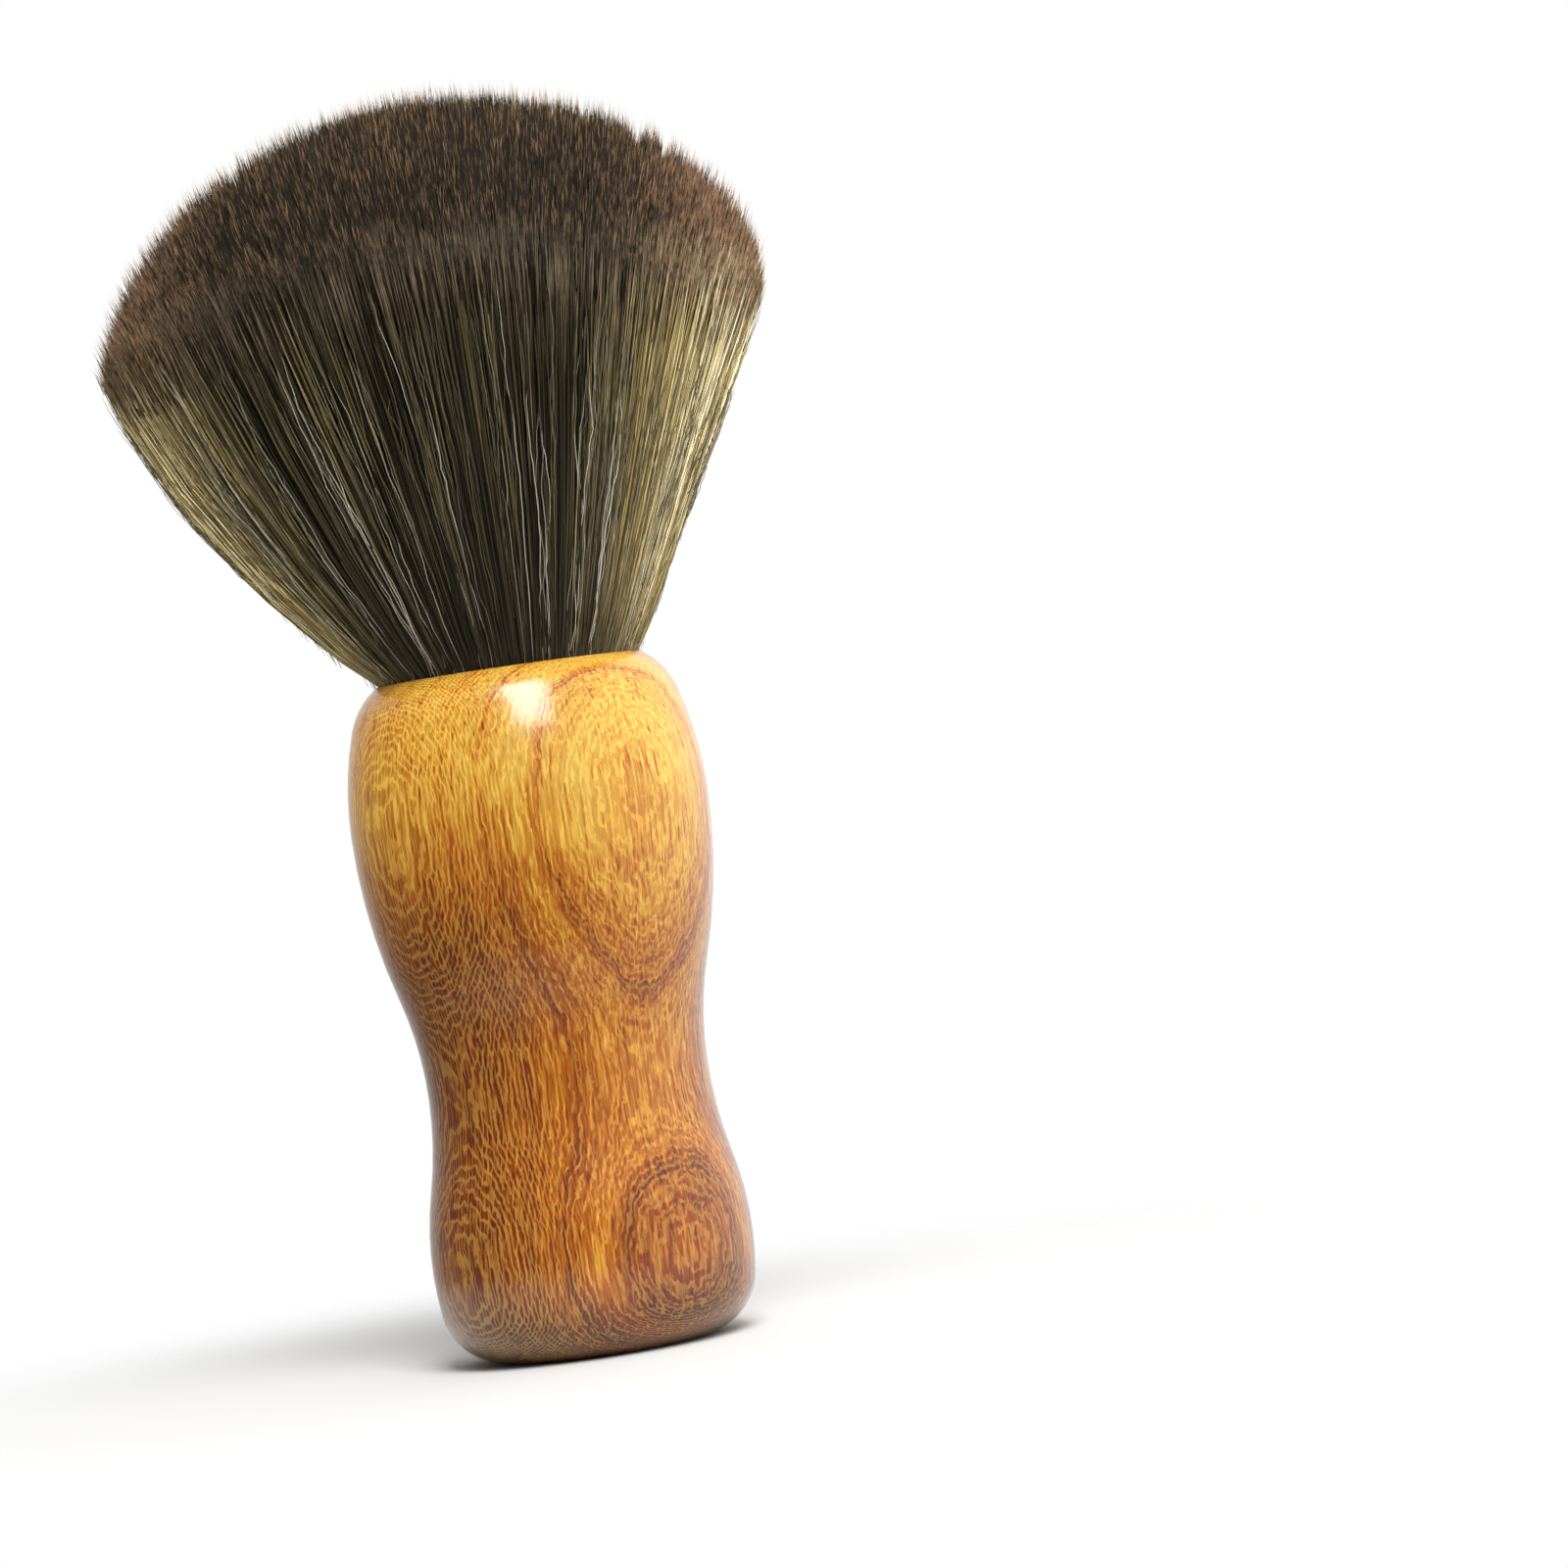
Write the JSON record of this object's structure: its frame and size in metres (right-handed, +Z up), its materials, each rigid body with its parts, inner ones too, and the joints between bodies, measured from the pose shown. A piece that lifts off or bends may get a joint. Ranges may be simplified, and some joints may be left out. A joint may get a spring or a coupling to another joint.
{
  "type": "neck duster brush",
  "caption": "Barber's neck duster: a vase-shaped turned wooden handle that stands on its flat base, with a wide dome-cut fan of soft dark fibres in its mouth.",
  "frame": {"origin": "centre of the handle's flat base", "axes": "+Z up the handle's axis, towards the tips of the fibres; +X across the fan's wide side; -Y is the front"},
  "size_m": [0.0982, 0.0864, 0.1846],
  "materials": {
    "varnished_wood": "gloss",
    "fibre": "satin",
    "resin": "gloss",
    "cord": "matte",
    "adhesive": "gloss"
  },
  "bodies": {
    "root": {"handle": "varnished_wood", "adhesive_bed": "adhesive", "root_plug": "resin", "binding_cord": "cord", "fibre_tuft": "fibre"}
  },
  "joints": []
}
